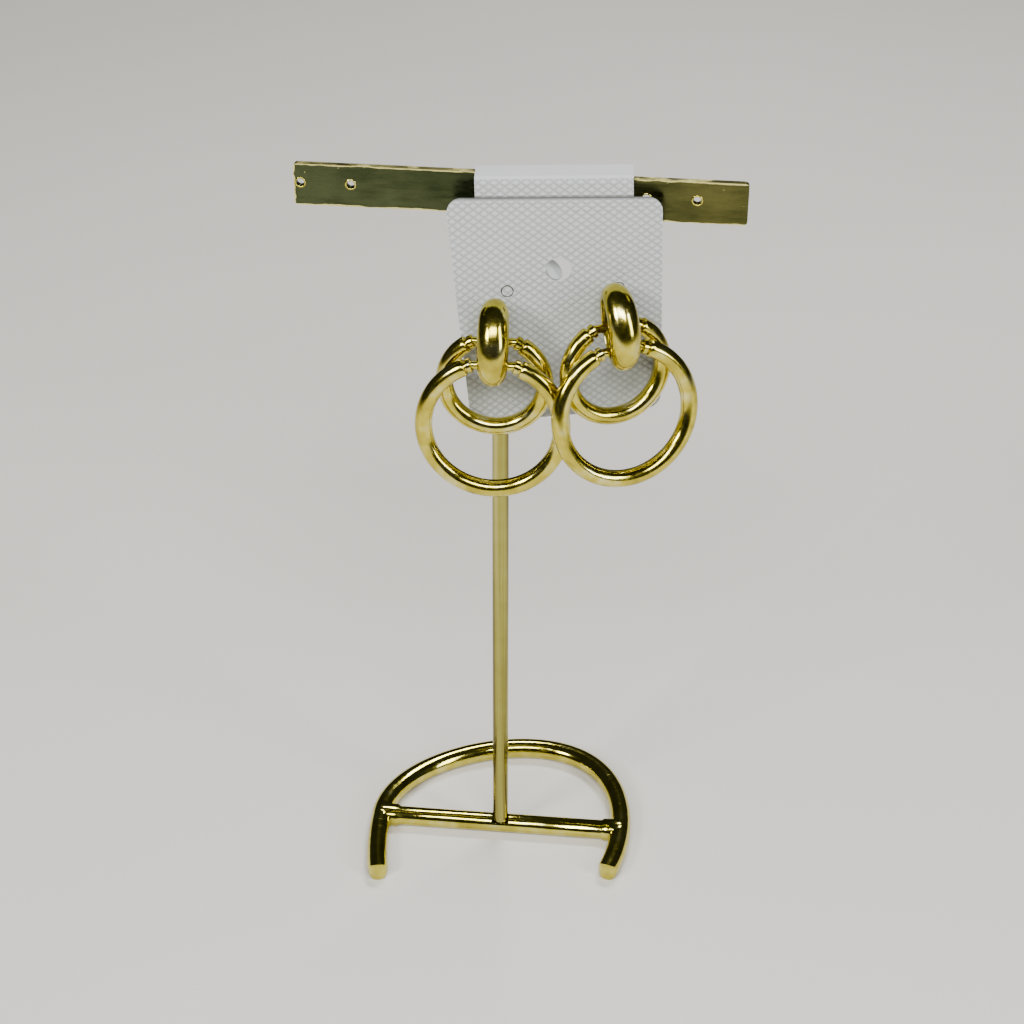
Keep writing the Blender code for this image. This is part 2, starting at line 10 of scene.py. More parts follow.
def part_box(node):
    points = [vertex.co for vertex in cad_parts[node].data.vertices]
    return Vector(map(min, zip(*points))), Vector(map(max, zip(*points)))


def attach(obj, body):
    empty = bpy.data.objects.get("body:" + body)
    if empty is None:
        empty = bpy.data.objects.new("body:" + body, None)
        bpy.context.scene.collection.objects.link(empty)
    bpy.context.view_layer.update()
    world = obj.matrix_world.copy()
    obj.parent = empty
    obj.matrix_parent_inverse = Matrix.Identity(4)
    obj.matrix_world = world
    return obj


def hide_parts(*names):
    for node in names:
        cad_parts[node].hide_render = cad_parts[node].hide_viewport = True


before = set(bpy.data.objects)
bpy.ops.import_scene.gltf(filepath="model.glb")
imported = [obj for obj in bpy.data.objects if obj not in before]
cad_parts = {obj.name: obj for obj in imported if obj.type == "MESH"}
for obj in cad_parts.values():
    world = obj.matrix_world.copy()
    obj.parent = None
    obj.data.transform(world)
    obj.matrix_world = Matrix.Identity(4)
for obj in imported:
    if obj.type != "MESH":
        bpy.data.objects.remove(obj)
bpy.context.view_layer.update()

# Sizes of the stand, as on the solids. The foot's legs are named by their side, -1 for the left
SEAT_GAP = 0.0003
ROD_RADIUS = 0.0028
HALF_SPACING = 0.0332
ARC_DEPTH = 0.0332
ARC_SKEW = 0.0066
LEG_REACH = {-1: 0.0241, 1: 0.0175}
LEG_TOE_IN = 0.0020
ROD_AXIS_HEIGHT = 0.0025
CROSSBAR_RADIUS = 0.0026
COLLAR_RADIUS = 0.0031
COLLAR_LENGTH = 0.0018
COLLAR_TAPER = 0.0006
NOTCH_DEPTH = 0.0012
NOSE_EASE = 1.03
NOSE_REACH = 1.2
NOSE_STEPS = 32
LEG_STEPS = 12
ARC_STEPS = 72
POLE_RADIUS = 0.0021
POLE_SLOT_DEPTH = 0.0050
POLE_STEPS = 8
BAR_CENTRE_HEIGHT = 0.1945
BAR_HEIGHT = 0.0105
BAR_THICKNESS = 0.0015
BAR_HOLE_RADIUS = 0.00095
BAR_HOLE_RISE = 0.0005
BAR_HOLES = (-0.0471, -0.0352, 0.0340, 0.0458)
BURR_RADIUS = 0.00022
BURR_STEPS = {"round": 40, "section": 10}

# How far the cutting boxes reach past what they cut
THROUGH = 0.004
NOTCH_REACH = 0.006
NOTCH_RISE = 0.01
GROUND_REACH = 0.1
GROUND_DEPTH = 0.01

# Softened edges, and the fold in degrees that counts as an edge
FOOT_EDGE = {"width": 0.00018, "segments": 2}
HOOP_EDGE = {"width": 0.0002, "segments": 3}
EDGE_ANGLE = 50
MERGE_DISTANCE = 1e-6

# How round the rods are, and the sharpest fold in degrees that smooth shading hides
ROD_ROUNDNESS = 10
POLE_ROUNDNESS = 14
POLE_SMOOTH = 35
CARD_SMOOTH = 40
RING_SMOOTH = 30

# Sizes and place of the folded card. Its yaw and roll go from the crease to the bottom edge
CARD_HALF_WIDTH = 0.0250
CARD_HEIGHT = 0.0566
CARD_THICKNESS = 0.0006
CARD_TAPER = 0.0037
CARD_CORNER = 0.0036
NECK_HALF_WIDTH = 0.0183
FOLD_RADIUS = 0.0011
SHELF_DEPTH = 0.0080
SHELF_HEIGHT = 0.00475
LIP_LENGTH = 0.0022
LIP_CORNER = 0.0020
HANG_HOLE = (0.0008, -0.0180)
HANG_HOLE_RADIUS = 0.00305
POST_HOLE_RADIUS = 0.0008
CARD_PLACE = (0.0130, -0.0053, 0.1963)
CARD_LEAN = math.radians(3.0)
CARD_YAW = (math.radians(3.2), math.radians(10.45))
CARD_ROLL = (math.radians(1.84), math.radians(2.98))
NECK_HEIGHT = SHELF_HEIGHT - FOLD_RADIUS
SHELF_FLAT = SHELF_DEPTH - 2 * FOLD_RADIUS
QUARTER_BEND = FOLD_RADIUS * math.pi / 2
BEND_STEPS = 10
LIP_STEPS = 8
CORNER_STEPS = 12
HANG_HOLE_STEPS = 48
POST_HOLE_STEPS = 16

# The disc punched out of the hang hole, folded back about its lower left edge
DISC_SHARE = 0.93
DISC_RIM_SHARE = 0.90
DISC_HINGE = math.radians(225)
DISC_FOLD = math.radians(-74)
DISC_SETBACK = 0.0004
DISC_STEPS = 40
DISC_PATTERN_SHIFT = 0.03

# Sizes of the hoops. Their width and depth go from the side by the card to the front
HOOP_LONG = 0.0104
HOOP_SHORT = 0.0069
HOOP_TILT = math.radians(25.0)
HOOP_SHELL = 0.0009
HOOP_WIDTH = (0.0050, 0.0076)
HOOP_DEPTH = (0.0027, 0.0036)
HOOP_CARD_GAP = 0.0006
POST_RADIUS = 0.00045
POST_LENGTH = 0.0046
HOOP_STEPS = 144
HOOP_SECTION_STEPS = 28

# Sizes of the rings, with the turned end of the tube from its neck outwards
NECK_RADIUS = 0.0011
TUBE_RADIUS = 0.0021
NECK_HALF = 0.0050
RING_STEPS = 64
TURNED_END = (
    {"run": 0.0, "radius": NECK_RADIUS},
    {"run": 0.00002, "radius": 0.0016},
    {"run": 0.00015, "radius": 0.00175},
    {"run": 0.00105, "radius": 0.00175},
    {"run": 0.00118, "radius": 0.0016},
    {"run": 0.0012, "radius": 0.00135},
    {"run": 0.0016, "radius": 0.00135},
    {"run": 0.00162, "radius": 0.0018},
    {"run": 0.0018, "radius": 0.0020},
    {"run": 0.0021, "radius": TUBE_RADIUS},
)

# Each ring's radius, the angle round the hoop where it hangs, and its gap there
RINGS = {
    "small": {"radius": 0.0120, "seat": math.radians(270.0), "gap": 0.00035},
    "large": {"radius": 0.0165, "seat": math.radians(180.0), "gap": 0.00070},
}

# Each earring's place on the flat card, its sideways turn, and the lean of its rings
EARRINGS = {
    "left": {
        "place": (-0.0140, -0.0288),
        "splay": math.radians(-5.6),
        "small_lean": math.radians(1.0),
        "large_lean": math.radians(5.5),
    },
    "right": {
        "place": (0.0117, -0.0262),
        "splay": math.radians(19.5),
        "small_lean": math.radians(6.5),
        "large_lean": math.radians(11.0),
    },
}

# The card's crease, scored circles and embossing, with the numbers of its slanting lines
EMBOSS_WIDTH = 0.0025
EMBOSS_HEIGHT = 0.0019
EMBOSS_DEPTH = 0.00008
EMBOSS_TOP = NECK_HEIGHT + QUARTER_BEND / 2
EMBOSS_ROWS = range(-81, 42)
SCORED_CIRCLES = ((-0.0114, -0.0231), (0.0148, -0.0232))
SCORED_RADIUS = 0.00139
SCORED_HALF_LINE = 0.00013
CREASE_HALF_WIDTH = 0.0007

# Polished gold: colours, finish, noise and surface relief
STAND_COLOURS = {
    "darkest": (0.40, 0.34, 0.04, 1.0),
    "bright": (0.57, 0.50, 0.08, 1.0),
    "palest": (0.66, 0.61, 0.20, 1.0),
}
# The pole's colours are a darker copy of the same gold: painted shade for the dark surroundings it
# reflects
POLE_SHADED_COLOURS = {
    "darkest": (0.16, 0.13, 0.03, 1.0),
    "bright": (0.36, 0.33, 0.08, 1.0),
    "palest": (0.52, 0.48, 0.17, 1.0),
}
RING_COLOURS = {
    "darkest": (0.40, 0.33, 0.04, 1.0),
    "bright": (0.60, 0.51, 0.07, 1.0),
    "palest": (0.72, 0.66, 0.27, 1.0),
}
STAND_FINISH = {"rough": (0.06, 0.15), "scratch": 0.12}
RING_FINISH = {"rough": (0.05, 0.24), "scratch": 0.12}
# The pole's vertical streaks are painted reflection bands
POLE_FINISH = {"rough": (0.10, 0.22), "scratch": 0.10, "reflection_streaks": 0.9}
GOLD_STOPS = {"darkest": 0.30, "bright": 0.52, "palest": 0.70}
GOLD_SCRATCH_LIMIT = 0.68
GOLD_NOISE = {
    "cloud": {"scale": 220.0, "detail": 5.0},
    # Noise of the pole's painted reflection streaks
    "reflection_streaks": {"scale": 620.0, "detail": 2.0, "stretch": (1.0, 1.0, 0.012)},
    "fine": {"scale": 900.0, "detail": 6.0},
    "lines": {"scale": 260.0, "detail": 3.0, "stretch": (1.0, 9.0, 1.0)},
    "ripple": {"scale": 130.0, "detail": 2.0},
    "dents": {"scale": 480.0, "detail": 3.0},
}
GOLD_RELIEF = {
    "ripple": {"distance": 0.00006, "strength": 0.5},
    "dents": {"distance": 0.00003, "strength": 0.5},
    "fine": {"distance": 0.000016, "strength": 0.6},
}

# The bar's scuffed plating, green at its left and warmer to the right, with a painted highlight along
# its edges
BAR_GREEN = {"dark": (0.030, 0.040, 0.016, 1.0), "light": (0.075, 0.090, 0.040, 1.0)}
BAR_OLIVE = {"dark": (0.045, 0.048, 0.014, 1.0), "light": (0.12, 0.115, 0.035, 1.0)}
# Pale colour of the painted highlight along the bar's top, bottom and left edges, and of its worn
# specks
BAR_HIGHLIGHT_AND_RUB = (0.74, 0.68, 0.26, 1.0)
BAR_STOPS = {"dark": 0.36, "light": 0.62}
BAR_TONE = {"cloud": 0.6, "scuff": 0.4}
BAR_WARMING = ((0.40, 0.0), (0.90, 1.0))
BAR_ROUGHNESS = ((0.45, 0.16), (0.70, 0.46))
# Width and raggedness of the painted highlight band along the edges
BAR_EDGE_WIDTH = 0.00030
BAR_EDGE_RAGGED = 0.0012
BAR_SPECK = {"limit": 0.74, "share": 0.6}
BAR_NOISE = {
    "cloud": {"scale": 70.0, "detail": 6.0},
    "scuff": {"scale": 300.0, "detail": 8.0, "stretch": (0.6, 1.0, 2.6)},
    "streak": {"scale": 160.0, "detail": 4.0, "stretch": (0.25, 1.0, 6.0)},
    "speck": {"scale": 620.0, "detail": 2.0},
    "dents": {"scale": 90.0, "detail": 3.0},
}
BAR_RELIEF = {
    "dents": {"distance": 0.00010, "strength": 0.6},
    "scuff": {"distance": 0.00003, "strength": 0.6},
}

# The card's skin: how deep its marks look, and how much painted shade darkens the embossing's valleys,
# the crease and the scored circles, beside a random cloudy tone
CARD_WHITE = (0.90, 0.95, 0.95, 1.0)
CARD_TONE = 0.50
CARD_ROUGHNESS = ((0.3, 0.42), (0.7, 0.58))
CARD_SPECULAR = 0.4
PILLOW_POWER = 0.6
CARD_SINK = {"crease": 1.4, "score": 1.8}
CARD_SHADE = {"valley": 0.18, "cloud": 0.06, "score": 0.10}
CARD_NOISE = {
    "cloud": {"scale": 60.0, "detail": 4.0},
    "grain": {"scale": 1500.0, "detail": 5.0},
}
CARD_RELIEF = {
    "marks": {"distance": 0.00020, "strength": 1.0},
    "grain": {"distance": 0.00002, "strength": 0.4},
}

# The floor
FLOOR_SIZE = 6.0
FLOOR_HEIGHT = -0.0001
FLOOR_STOPS = ((0.3, (0.62, 0.60, 0.57, 1.0)), (0.7, (0.66, 0.64, 0.61, 1.0)))
FLOOR_NOISE = {"scale": 3.0, "detail": 2.0}
FLOOR_ROUGHNESS = 0.7

# Studio lights, all facing one point
LIGHT_TARGET = (0.0, 0.0, 0.10)
LIGHTS = {
    "key": {
        "place": (-0.60, -0.70, 0.70),
        "size": (0.28, 0.28),
        "power": 9.0,
        "colour": (1.0, 0.98, 0.94),
    },
    "strip": {
        "place": (0.05, -0.75, 0.88),
        "size": (0.85, 0.24),
        "power": 12.0,
        "colour": (1.0, 0.99, 0.96),
    },
    "fill": {
        "place": (0.80, -0.45, 0.50),
        "size": (0.20, 0.60),
        "power": 6.0,
        "colour": (0.97, 0.98, 1.0),
    },
    "top": {
        "place": (0.15, 0.55, 0.95),
        "size": (0.50, 0.20),
        "power": 9.0,
        "colour": (1.0, 0.99, 0.96),
    },
}
WORLD_COLOUR = (0.028, 0.032, 0.026, 1.0)
WORLD_STRENGTH = 0.9

# Camera, fitted to the photo
PICTURE_WIDTH = 1024
FOCAL_PIXELS = 2400
SHIFT_PIXELS = 11.5
SENSOR_WIDTH = 36.0
CAMERA_PITCH = math.radians(33.3)
CAMERA_AZIMUTH = math.radians(6.1)
CAMERA_DISTANCE = 0.6083
CAMERA_AIM_HEIGHT = 0.1053
CAMERA_NEAR = 0.01

# The pieces are built round the pole's axis and moved to the frame's origin at the end
pole_low, pole_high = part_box("stand_pole")
SHIFT = Vector(((pole_low[0] + pole_high[0]) / 2, (pole_low[1] + pole_high[1]) / 2, 0.0))


def link(name, data):
    """A new object in the scene."""
    obj = bpy.data.objects.new(name, data)
    bpy.context.scene.collection.objects.link(obj)
    return obj


def apply_all(obj, helpers=()):
    """Turn an object's evaluated shape into its own mesh and drop what helped to make it."""
    bpy.context.view_layer.update()
    evaluated = obj.evaluated_get(bpy.context.evaluated_depsgraph_get())
    mesh = bpy.data.meshes.new_from_object(evaluated)
    if obj.type == "CURVE":
        name, place = obj.name, obj.matrix_world.copy()
        bpy.data.objects.remove(obj)
        obj = link(name, mesh)
        obj.matrix_world = place
    else:
        obj.modifiers.clear()
        obj.data = mesh
    for helper in helpers:
        bpy.data.objects.remove(helper)
    work = bmesh.new()
    work.from_mesh(obj.data)
    bmesh.ops.remove_doubles(work, verts=work.verts, dist=MERGE_DISTANCE)
    bmesh.ops.recalc_face_normals(work, faces=work.faces)
    work.to_mesh(obj.data)
    work.free()
    return obj


def rod(name, points, radii, cyclic=False, roundness=ROD_ROUNDNESS):
    """A round rod along points."""
    curve = bpy.data.curves.new(name, "CURVE")
    curve.dimensions = "3D"
    curve.bevel_depth = 1.0
    curve.bevel_resolution = roundness
    curve.use_fill_caps = not cyclic
    curve.twist_mode = "MINIMUM"
    spline = curve.splines.new("POLY")
    spline.points.add(len(points) - 1)
    for spot, place, radius in zip(spline.points, points, radii):
        spot.co = (*place, 1.0)
        spot.radius = radius
    spline.use_cyclic_u = cyclic
    return apply_all(link(name, curve))


def plate(name, outlines, thickness):
    """A plate from closed outlines in the local XY plane."""
    curve = bpy.data.curves.new(name, "CURVE")
    curve.dimensions = "2D"
    curve.fill_mode = "BOTH"
    curve.extrude = thickness / 2
    for outline in outlines:
        spline = curve.splines.new("POLY")
        spline.points.add(len(outline) - 1)
        for spot, (x, y) in zip(spline.points, outline):
            spot.co = (x, y, 0.0, 1.0)
        spline.use_cyclic_u = True
    return apply_all(link(name, curve))


def arc(centre, radius, start, end, steps):
    """Points on a circle from one angle to another, in degrees."""
    angles = [math.radians(start + (end - start) * i / steps) for i in range(steps + 1)]
    return [(centre[0] + radius * math.cos(a), centre[1] + radius * math.sin(a)) for a in angles]


def circle(centre, radius, steps):
    """A full circle as a closed outline."""
    return arc(centre, radius, 0, 360 * (steps - 1) / steps, steps - 1)


def boolean(obj, other, operation):
    """Join or cut obj by other."""
    modifier = obj.modifiers.new(operation, "BOOLEAN")
    modifier.operation = operation
    modifier.solver = "EXACT"
    modifier.object = other


def soften(obj, width, segments):
    """Round an object's sharp edges a little."""
    bevel = obj.modifiers.new("Ease", "BEVEL")
    bevel.width = width
    bevel.segments = segments
    bevel.limit_method = "ANGLE"
    bevel.angle_limit = math.radians(EDGE_ANGLE)


def smooth(obj, angle):
    """Smooth shading with sharp edges kept."""
    obj.data.shade_smooth()
    obj.data.set_sharp_from_angle(angle=math.radians(angle))


def box(name, low, high):
    """A box between two corners."""
    mesh = bpy.data.meshes.new(name)
    work = bmesh.new()
    bmesh.ops.create_cube(work, size=1.0)
    bmesh.ops.scale(work, vec=Vector(high) - Vector(low), verts=work.verts)
    bmesh.ops.translate(work, vec=(Vector(high) + Vector(low)) / 2, verts=work.verts)
    work.to_mesh(mesh)
    work.free()
    return link(name, mesh)


def finish_piece(obj, node, body, material):
    """Move a piece into the shared frame, give it its look and put it in its node's place."""
    obj.data.transform(Matrix.Translation(SHIFT) @ obj.matrix_world)
    obj.matrix_world = Matrix.Identity(4)
    obj.data.materials.clear()
    obj.data.materials.append(material)
    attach(obj, body)
    if node:
        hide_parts(node)


def dress(obj, material):
    """Give one of the frame's own solids its look."""
    obj.data.materials.clear()
    obj.data.materials.append(material)


def base_piece():
    """The horseshoe foot with its crossbar, weld collars, rounded noses and pole notch."""
    legs = {}
    noses = []
    for side, reach in LEG_REACH.items():
        run = reach - ROD_RADIUS
        points = []
        for i in range(1, LEG_STEPS + 1):
            share = i / LEG_STEPS
            x = side * (HALF_SPACING - LEG_TOE_IN * share**2)
            points.append(Vector((x, -run * share, ROD_AXIS_HEIGHT)))
        heading = (points[-1] - points[-2]).normalized()
        noses.append((points[-1].copy(), heading))
        points.append(points[-1] + heading * ROD_RADIUS * NOSE_REACH)
        legs[side] = points
    sweep = []
    for i in range(ARC_STEPS + 1):
        angle = math.pi * (1 - i / ARC_STEPS)
        x = HALF_SPACING * math.cos(angle) + ARC_SKEW * math.sin(angle) ** 2
        sweep.append(Vector((x, ARC_DEPTH * math.sin(angle), ROD_AXIS_HEIGHT)))
    path = list(reversed(legs[-1])) + sweep + legs[1]
    base = rod("foot", path, [ROD_RADIUS] * len(path))
    helpers = []
    level = ROD_AXIS_HEIGHT
    span = [Vector((x, 0, level)) for x in (-HALF_SPACING, HALF_SPACING)]
    crossbar = rod("foot_crossbar", span, [CROSSBAR_RADIUS] * 2)
    boolean(base, crossbar, "UNION")
    helpers.append(crossbar)
    for side in (-1, 1):
        inner = HALF_SPACING - ROD_RADIUS - COLLAR_LENGTH
        stops = (HALF_SPACING, inner, inner - COLLAR_TAPER)
        collar_points = [Vector((side * x, 0, level)) for x in stops]
        collar_radii = [COLLAR_RADIUS, COLLAR_RADIUS, CROSSBAR_RADIUS]
        collar = rod(f"foot_collar_{side}", collar_points, collar_radii)
        boolean(base, collar, "UNION")
        helpers.append(collar)
    for centre, heading in noses:
        nose = ROD_RADIUS * NOSE_EASE
        wide = ROD_RADIUS * 2
        outline = arc((0, 0), nose, 180, 0, NOSE_STEPS)
        outline += [(wide, 0), (wide, wide), (-wide, wide), (-wide, 0)]
        cutter = plate("foot_nose", [outline], wide * 2)
        turn = Matrix.Rotation(math.atan2(-heading.x, heading.y), 4, "Z")
        cutter.matrix_world = Matrix.Translation(centre) @ turn
        boolean(base, cutter, "DIFFERENCE")
        helpers.append(cutter)
    reach = GROUND_REACH
    ground = box("foot_ground", (-reach, -reach, -GROUND_DEPTH), (reach, reach, 0.0))
    boolean(base, ground, "DIFFERENCE")
    helpers.append(ground)
    half = POLE_RADIUS + SEAT_GAP
    low = level + CROSSBAR_RADIUS - NOTCH_DEPTH
    notch = box("foot_notch", (-half, -NOTCH_REACH, low), (half, NOTCH_REACH, low + NOTCH_RISE))
    boolean(base, notch, "DIFFERENCE")
    helpers.append(notch)
    base = apply_all(base, helpers)
    soften(base, **FOOT_EDGE)
    smooth(base, EDGE_ANGLE)
    return base


def pole_piece():
    """The upright, from its seat in the crossbar to the slot that takes the bar."""
    foot = ROD_AXIS_HEIGHT + CROSSBAR_RADIUS - NOTCH_DEPTH + SEAT_GAP
    top = BAR_CENTRE_HEIGHT - BAR_HEIGHT / 2 + POLE_SLOT_DEPTH
    points = [Vector((0, 0, foot + (top - foot) * i / POLE_STEPS)) for i in range(POLE_STEPS + 1)]
    pole = rod("pole", points, [POLE_RADIUS] * len(points), roundness=POLE_ROUNDNESS)
    half = BAR_THICKNESS / 2 + SEAT_GAP
    seat = BAR_CENTRE_HEIGHT - BAR_HEIGHT / 2 - SEAT_GAP
    slot = box("pole_slot", (-THROUGH, -half, seat), (THROUGH, half, top + THROUGH))
    boolean(pole, slot, "DIFFERENCE")
    pole = apply_all(pole, [slot])
    smooth(pole, POLE_SMOOTH)
    return pole


def card_frame(drop, lean=CARD_LEAN):
    """Place and axes of the card at a distance below its crease."""
    share = min(max(drop / CARD_HEIGHT, 0.0), 1.0)
    yaw = CARD_YAW[0] + (CARD_YAW[1] - CARD_YAW[0]) * share
    roll = CARD_ROLL[0] + (CARD_ROLL[1] - CARD_ROLL[0]) * share
    across = Vector((math.cos(yaw) * math.cos(roll), math.sin(yaw) * math.cos(roll), math.sin(roll)))
    down = Vector((math.sin(CARD_ROLL[0]), -math.sin(lean), -math.cos(lean)))
    place = Vector(CARD_PLACE) + down * max(drop, 0.0)
    front = across.cross(-down).normalized()
    up = front.cross(across)
    axes = Matrix((across, up, front)).transposed().to_4x4()
    axes.translation = place
    return axes


def fold_point(climb):
    """Height, setback and turn of the folded part at a distance up from the crease."""
    if climb <= NECK_HEIGHT:
        return climb, 0.0, 0.0
    climb -= NECK_HEIGHT
    if climb <= QUARTER_BEND:
        bend = climb / FOLD_RADIUS
        return NECK_HEIGHT + FOLD_RADIUS * math.sin(bend), FOLD_RADIUS * (1 - math.cos(bend)), bend
    climb -= QUARTER_BEND
    if climb <= SHELF_FLAT:
        return SHELF_HEIGHT, FOLD_RADIUS + climb, math.pi / 2
    climb -= SHELF_FLAT
    if climb <= QUARTER_BEND:
        bend = math.pi / 2 + climb / FOLD_RADIUS
        setback = SHELF_DEPTH - FOLD_RADIUS * (1 + math.cos(bend))
        return NECK_HEIGHT + FOLD_RADIUS * math.sin(bend), setback, bend
    return NECK_HEIGHT - (climb - QUARTER_BEND), SHELF_DEPTH, math.pi


def place_on_card(across, up, lift):
    """Map a point of the flat card to the folded and twisted one."""
    if up <= 0:
        return card_frame(-up) @ Vector((across, 0.0, lift))
    height, setback, bend = fold_point(up)
    local = Vector((across, height + lift * math.sin(bend), -setback + lift * math.cos(bend)))
    return card_frame(0.0, lean=0.0) @ local


def relief(across, up):
    """How far a point of the flat card stands up from the embossing's valleys, from 0 to 1."""
    if up > EMBOSS_TOP:
        return 1.0
    first = math.sin(math.pi * (across / EMBOSS_WIDTH + up / EMBOSS_HEIGHT))
    second = math.sin(math.pi * (across / EMBOSS_WIDTH - up / EMBOSS_HEIGHT))
    return abs(first * second)


def cut_along(work, spot, normal):
    """Split every face that a plane crosses."""
    geometry = list(work.verts) + list(work.edges) + list(work.faces)
    bmesh.ops.bisect_plane(
        work, geom=geometry, dist=MERGE_DISTANCE, plane_co=spot, plane_no=normal
    )


def card_piece():
    """The folded card, embossed, with its flat pattern kept as an attribute for its look."""
    top = NECK_HEIGHT + 2 * QUARTER_BEND + SHELF_FLAT + LIP_LENGTH
    half, neck, corner = CARD_HALF_WIDTH, NECK_HALF_WIDTH, CARD_CORNER
    bottom = -CARD_HEIGHT
    outline = arc((neck - LIP_CORNER, top - LIP_CORNER), LIP_CORNER, 0, 90, LIP_STEPS)
    outline += arc((-neck + LIP_CORNER, top - LIP_CORNER), LIP_CORNER, 90, 180, LIP_STEPS)
    outline.append((-neck, 0.0))
    outline += arc((-half + corner, -corner), corner, 90, 180, CORNER_STEPS)
    outline += arc((-half + CARD_TAPER + corner, bottom + corner), corner, 180, 270, CORNER_STEPS)
    outline += arc((half - corner, bottom + corner), corner, 270, 360, CORNER_STEPS)
    outline += arc((half - corner, -corner), corner, 0, 90, CORNER_STEPS)
    outline.append((neck, 0.0))
    holes = [circle(HANG_HOLE, HANG_HOLE_RADIUS, HANG_HOLE_STEPS)]
    for row in EARRINGS.values():
        holes.append(circle(row["place"], POST_HOLE_RADIUS, POST_HOLE_STEPS))
    card = plate("card", [outline] + holes, CARD_THICKNESS)
    second = NECK_HEIGHT + QUARTER_BEND + SHELF_FLAT
    lines = []
    for start in (NECK_HEIGHT, second):
        lines += [start + QUARTER_BEND * i / BEND_STEPS for i in range(BEND_STEPS + 1)]
    work = bmesh.new()
    work.from_mesh(card.data)
    for line in lines:
        cut_along(work, (0, line, 0), (0, 1, 0))
    for slope in (-1, 1):
        normal = (1 / EMBOSS_WIDTH, slope / EMBOSS_HEIGHT, 0)
        for i in EMBOSS_ROWS:
            cut_along(work, (slope * EMBOSS_WIDTH * i / 2, 0, 0), Vector(normal).normalized())
    bmesh.ops.triangulate(work, faces=work.faces)
    flat = work.verts.layers.float_vector.new("flat")
    for vertex in work.verts:
        across, up, lift = vertex.co
        vertex[flat] = vertex.co
        sunk = EMBOSS_DEPTH * (1 - relief(across, up))
        vertex.co = place_on_card(across, up, lift - math.copysign(sunk, lift))
    work.to_mesh(card.data)
    work.free()
    smooth(card, CARD_SMOOTH)
    return card


def disc_piece():
    """The punched disc, still hinged at the hang hole's lower left and pushed back."""
    outline = circle((0, 0), HANG_HOLE_RADIUS * DISC_SHARE, DISC_STEPS)
    disc = plate("card_disc", [outline], CARD_THICKNESS)
    axis = Vector((-math.sin(DISC_HINGE), math.cos(DISC_HINGE), 0))
    rim = Vector((math.cos(DISC_HINGE), math.sin(DISC_HINGE), 0)) * HANG_HOLE_RADIUS * DISC_RIM_SHARE
    turn = Matrix.Rotation(DISC_FOLD, 4, axis)
    fold = Matrix.Translation(rim) @ turn @ Matrix.Translation(-rim)
    place = card_frame(-HANG_HOLE[1])
    centre = Matrix.Translation((HANG_HOLE[0], 0, -DISC_SETBACK))
    disc.matrix_world = place @ centre @ fold
    flat = disc.data.attributes.new("flat", "FLOAT_VECTOR", "POINT")
    move = Vector((HANG_HOLE[0], HANG_HOLE[1] + DISC_PATTERN_SHIFT, 0))
    for i, vertex in enumerate(disc.data.vertices):
        flat.data[i].vector = vertex.co + move
    return disc


def hoop_point(along, across):
    """Forward and upward distances from the post of a point in the oval's own axes."""
    back = math.hypot(HOOP_LONG * math.sin(HOOP_TILT), HOOP_SHORT * math.cos(HOOP_TILT))
    rise = (HOOP_LONG**2 - HOOP_SHORT**2) * math.sin(HOOP_TILT) * math.cos(HOOP_TILT) / back
    forward = back + HOOP_CARD_GAP + CARD_THICKNESS / 2
    forward += -along * math.sin(HOOP_TILT) + across * math.cos(HOOP_TILT)
    return forward, -rise + along * math.cos(HOOP_TILT) + across * math.sin(HOOP_TILT)


def hoop_section(angle):
    """Outer point, outward direction, width and depth of the channel."""
    outer = Vector((HOOP_LONG * math.cos(angle), HOOP_SHORT * math.sin(angle)))
    outward = Vector((math.cos(angle) / HOOP_LONG, math.sin(angle) / HOOP_SHORT)).normalized()
    share = (1 + math.sin(angle)) / 2
    width = HOOP_WIDTH[0] + (HOOP_WIDTH[1] - HOOP_WIDTH[0]) * share
    depth = HOOP_DEPTH[0] + (HOOP_DEPTH[1] - HOOP_DEPTH[0]) * share
    return outer, outward, width, depth


def hoop_piece(name, earring, post_turn):
    """The puffed channel with its post."""
    work = bmesh.new()
    grid = []
    for i in range(HOOP_STEPS):
        outer, outward, width, depth = hoop_section(2 * math.pi * i / HOOP_STEPS)
        section = []
        for j in range(HOOP_SECTION_STEPS + 1):
            sweep = math.pi * j / HOOP_SECTION_STEPS
            forward, up = hoop_point(*(outer - outward * depth * (1 - math.sin(sweep))))
            section.append(work.verts.new((width / 2 * math.cos(sweep), -forward, up)))
        grid.append(section)
    for i, here in enumerate(grid):
        after = grid[(i + 1) % HOOP_STEPS]
        for j in range(HOOP_SECTION_STEPS):
            work.faces.new((here[j], here[j + 1], after[j + 1], after[j]))
    mesh = bpy.data.meshes.new(name)
    work.to_mesh(mesh)
    work.free()
    hoop = link(name, mesh)
    shell = hoop.modifiers.new("Shell", "SOLIDIFY")
    shell.thickness = HOOP_SHELL
    shell.offset = -1.0
    shell.use_even_offset = True
    soften(hoop, **HOOP_EDGE)
    hoop = apply_all(hoop)
    rooted = CARD_THICKNESS / 2 + HOOP_CARD_GAP + HOOP_SHELL / 2
    direction = post_turn @ Vector((0, 1, 0))
    post = rod(f"{name}_pin", [direction * -rooted, direction * POST_LENGTH], [POST_RADIUS] * 2)
    work = bmesh.new()
    work.from_mesh(hoop.data)
    work.from_mesh(post.data)
    work.to_mesh(hoop.data)
    work.free()
    bpy.data.objects.remove(post)
    hoop.matrix_world = earring
    smooth(hoop, EDGE_ANGLE)
    return hoop


